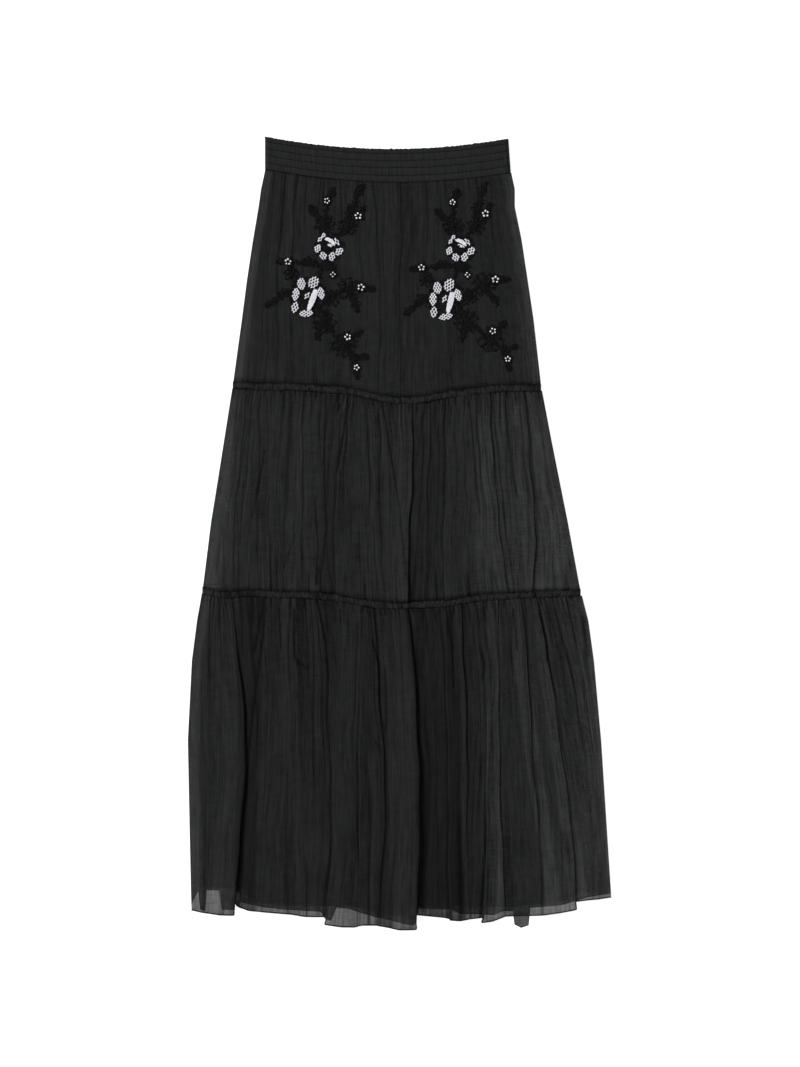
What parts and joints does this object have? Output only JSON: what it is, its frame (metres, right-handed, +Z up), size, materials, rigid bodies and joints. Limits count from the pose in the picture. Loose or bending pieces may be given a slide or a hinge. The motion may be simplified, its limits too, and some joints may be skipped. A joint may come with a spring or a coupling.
{
  "type": "maxi skirt",
  "caption": "Sheer black maxi skirt laid flat, with gathered tiers, a shirred waistband, corded seams, a lining and a pair of lace flower sprays.",
  "frame": {"origin": "centre of the laid skirt's box, on the surface that it lies on", "axes": "+Y from the hem to the waist, +Z up from the surface, out of the skirt's front, +X to the right in the picture"},
  "size_m": [0.5286, 0.991, 0.0141],
  "materials": {
    "voile": "sheer crinkled voile",
    "lining": "smooth woven lining",
    "trim": "stitched voile over elastic and cord",
    "lace": "corded lace"
  },
  "bodies": {
    "root": {"waistband_front": "trim", "waistband_back": "trim", "yoke_front": "voile", "yoke_back": "voile", "upper_seam_front": "trim", "upper_seam_back": "trim", "middle_tier_front": "voile", "middle_tier_back": "voile", "lower_seam_front": "trim", "lower_seam_back": "trim", "bottom_tier_front": "voile", "bottom_tier_back": "voile", "lining_front": "lining", "lining_back": "lining", "lace_spray_left": "lace", "lace_spray_right": "lace"}
  },
  "joints": []
}
